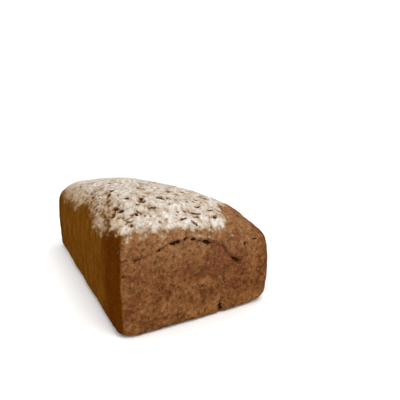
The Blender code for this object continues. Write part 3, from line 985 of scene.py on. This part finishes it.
# %% Crazing and pinholes
# Crazing: thin lines where a twisted noise crosses its middle value
twist = add("TexNoise", {"Vector": along, "Scale": 1 / (5.0 * MM), "Detail": 3.0, "Roughness": 0.6,
                         "Distortion": 1.0})
twist = add("Math", {0: twist, 1: 0.5}, operation="SUBTRACT")
twist = add("Math", {0: twist}, operation="ABSOLUTE")
crazed = add("MapRange", {"Value": twist, "From Max": 0.03, "To Min": 1.0, "To Max": 0.0})
crazed = add("Math", {0: crazed, 1: lively}, operation="MULTIPLY")
thick = add("Math", {0: crazed, 1: -0.30, 2: thick}, operation="MULTIPLY_ADD")

# Pinholes in the powder, in about a third of the cells of a fine pattern
pinhole = scattered(bent, 1.9 * MM, 0.12, 0.34, 1.0, 0.55, 0.65)
pinhole = add("Math", {0: pinhole, 1: lively}, operation="MULTIPLY")
thick = add("Math", {0: pinhole, 1: -0.38, 2: thick}, operation="MULTIPLY_ADD")
print("crust and thickness of the flour:", len(graph.nodes), "nodes")

# %% Colours of the powder
powder = add("ValToRGB", {"Fac": thick}, take="Color", stops=(
    (0.08, "#846646"), (0.32, "#a28a70"), (0.56, "#bbac9b"), (0.78, "#cfc6bc"), (1.0, "#e1dcd7")))
crumb = add("TexNoise", {"Vector": along, "Scale": 1 / (1.5 * MM), "Detail": 5.0,
                         "Roughness": 0.75})
crumbs = add("ValToRGB", {"Fac": crumb}, take="Color", stops=(
    (0.30, "#e2dcd5"), (0.50, "#f4f1ed"), (0.66, "#ffffff")))
# Crumbs lie all over, and on the sides the flour is creamier, partly as painted shade of those sides
for share, tint in ((1.0, crumbs), (side_tone_and_shade, "#fbf5ea")):
    powder = add("Mix", {"Factor": share, UNDER: powder, OVER: tint}, **COLOURS,
                 blend_type="MULTIPLY")
cover = add("MapRange", {"Value": thick, "From Min": 0.06, "From Max": 0.40}, **SMOOTH)
# Even where the powder has come off, it has dulled the crust that it lay on
stain = add("MapRange", {"Value": flour_note, "From Min": 0.15, "From Max": 0.6, "To Max": 0.65},
            **SMOOTH)
cover = add("Math", {0: cover, 1: stain}, operation="MAXIMUM")
colour = add("Mix", {"Factor": cover, UNDER: brown, OVER: powder}, **COLOURS)

# %% Inside the pits and cracks
# Red-brown at their edge, nearly black-brown in their depth: partly the crumb's own colour, partly
# painted shade of the hollow.
# The crumbs' noise frays their edge finer than the skin's faces can
frayed = add("MapRange", {"Value": crumb, "From Min": 0.3, "From Max": 0.7, "To Min": -0.45,
                          "To Max": 0.45}, clamp=False)
hole = add("Math", {0: dark_note, 1: frayed}, operation="ADD")
edge_share = add("MapRange", {"Value": hole, "From Min": 0.22, "From Max": 0.48}, **SMOOTH)
deep_shade_share = add("MapRange", {"Value": hole, "From Min": 0.38, "From Max": 0.75}, **SMOOTH)
inside = add("Mix", {"Factor": deep_shade_share, UNDER: "#714a30", OVER: "#2b1a0d"}, **COLOURS)
# A mark is only as strong as its own note, so the noise alone makes none
edge_share = add("Math", {0: edge_share, 1: dark_note}, operation="MULTIPLY")
edge_share = add("Math", {0: edge_share, 1: 1.8}, operation="MULTIPLY", use_clamp=True)
colour = add("Mix", {"Factor": edge_share, UNDER: colour, OVER: inside}, **COLOURS)
graph.links.new(colour, shader.inputs["Base Color"])

# %% Relief and gloss
# The bump adds what is finer than the skin's faces: the grain and the flour's own edge
BUMP_HEIGHT = 0.7 * MM
height = add("Math", {0: grain, 1: 1.0, 2: fine}, operation="MULTIPLY_ADD")
powder_height = add("Math", {0: thick, 1: cover}, operation="MULTIPLY")
height = add("Math", {0: powder_height, 1: 0.65, 2: height}, operation="MULTIPLY_ADD")
bump = add("Bump", {"Height": height, "Strength": 1.0, "Distance": BUMP_HEIGHT})
graph.links.new(bump, shader.inputs["Normal"])
gloss = add("MapRange", {"Value": cover, "To Min": 0.72, "To Max": 0.95})
graph.links.new(gloss, shader.inputs["Roughness"])
# So dry and rough a skin scatters all light, and has no highlight of its own
shader.inputs["IOR"].default_value = 1.45
shader.inputs["Specular IOR Level"].default_value = 0.0
mesh.materials.append(finish)
print("finish:", len(graph.nodes), "nodes")

# %% [markdown]
# ## Floor and light
#
# The loaf stands on a plain pale floor, as in a catalogue picture. One large soft lamp above and
# beyond the torn end lights that end and the top, and leaves the long sides in shade. The white
# world around fills that shade, so no part goes black.

# %% Floor
FLOOR_HALF = 4.0
floor_mesh = bpy.data.meshes.new("floor")
bm = bmesh.new()
bmesh.ops.create_grid(bm, x_segments=2, y_segments=2, size=FLOOR_HALF)
bm.to_mesh(floor_mesh)
bm.free()
floor = bpy.data.objects.new("floor", floor_mesh)
scene.collection.objects.link(floor)
# White board is matt, so it shows the loaf's shadow and no reflection
paper = bpy.data.materials.new("matt_white_board")
paper.use_nodes = True
sockets = paper.node_tree.nodes["Principled BSDF"].inputs
sockets["Base Color"].default_value = linear("#fcfcfb")
sockets["Roughness"].default_value = 0.9
floor_mesh.materials.append(paper)
print("floor:", 2 * FLOOR_HALF, "m wide")

# %% Light
world = bpy.data.worlds.new("pale_studio")
scene.world = world
world.use_nodes = True
world.node_tree.nodes["Background"].inputs["Color"].default_value = linear("#ffffff")
world.node_tree.nodes["Background"].inputs["Strength"].default_value = 1.03

LAMP_PLACE = Vector((0.75, 0.0, 1.0))
LAMP_SIDE = 0.5
LAMP_WATTS = 7
LOAF_MIDDLE = Vector((0, 0, 40 * MM))
lamp = bpy.data.lights.new("key_lamp", "AREA")
lamp.shape = "SQUARE"
lamp.size = LAMP_SIDE
lamp.energy = LAMP_WATTS
key_lamp = bpy.data.objects.new("key_lamp", lamp)
key_lamp.location = LAMP_PLACE
key_lamp.rotation_euler = (LOAF_MIDDLE - LAMP_PLACE).to_track_quat("-Z", "Y").to_euler()
scene.collection.objects.link(key_lamp)
print("lamp:", round((LOAF_MIDDLE - LAMP_PLACE).length, 2), "m from the loaf")
